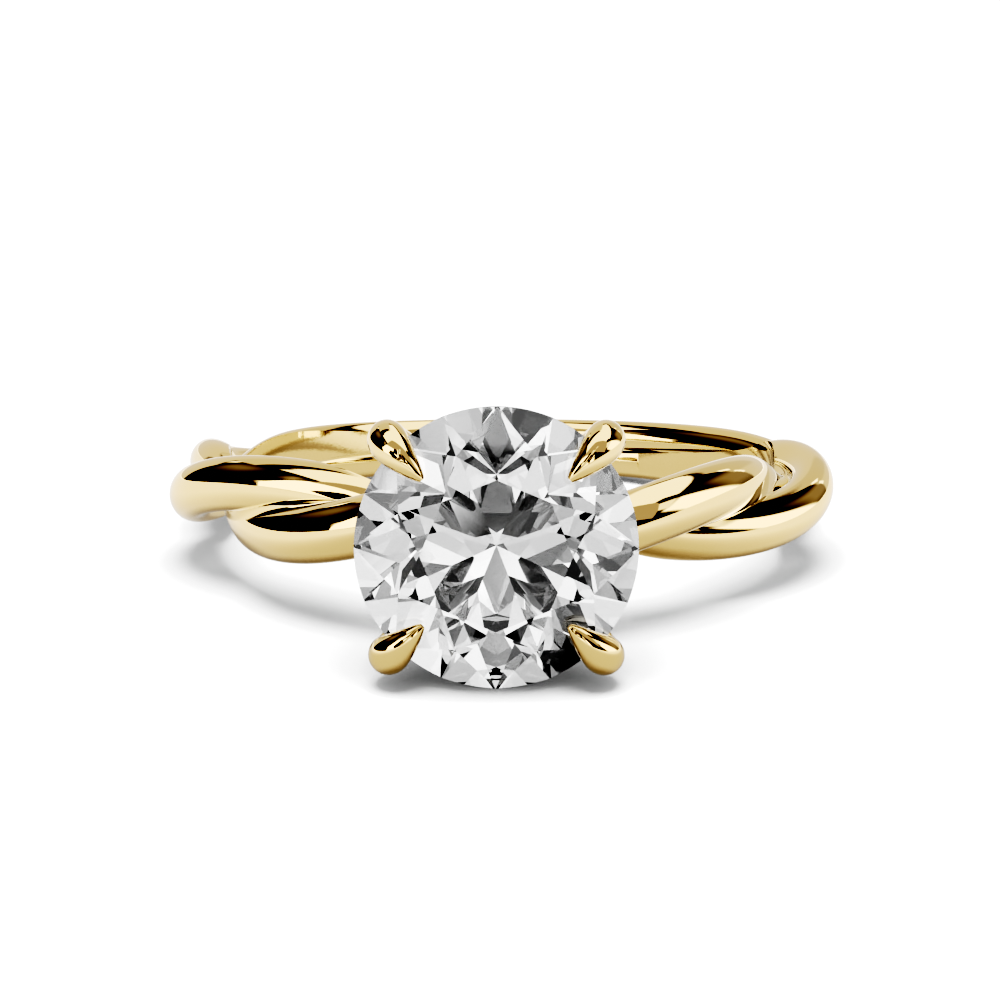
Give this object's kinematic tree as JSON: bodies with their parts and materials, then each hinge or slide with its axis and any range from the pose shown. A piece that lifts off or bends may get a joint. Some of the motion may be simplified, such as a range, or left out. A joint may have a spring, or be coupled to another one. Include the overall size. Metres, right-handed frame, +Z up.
{
  "type": "twisted shank solitaire ring",
  "caption": "Solitaire ring: two gold strands twisted round the finger bore, and a claw head holding a round brilliant.",
  "frame": {"origin": "on the surface that the ring lies on, below the middle of its bounding box", "axes": "+Z up, -Y towards the front of the stone, X across the ring; the finger bore leans 7.6 degrees from +Z towards +Y, because the ring rests on the stone's girdle and on the back of its shank"},
  "size_m": [0.0208, 0.0254, 0.008],
  "materials": {
    "yellow_gold": "polished",
    "stone": "polished"
  },
  "bodies": {
    "root": {"gold_mounting": "yellow_gold", "round_stone": "stone"}
  },
  "joints": []
}
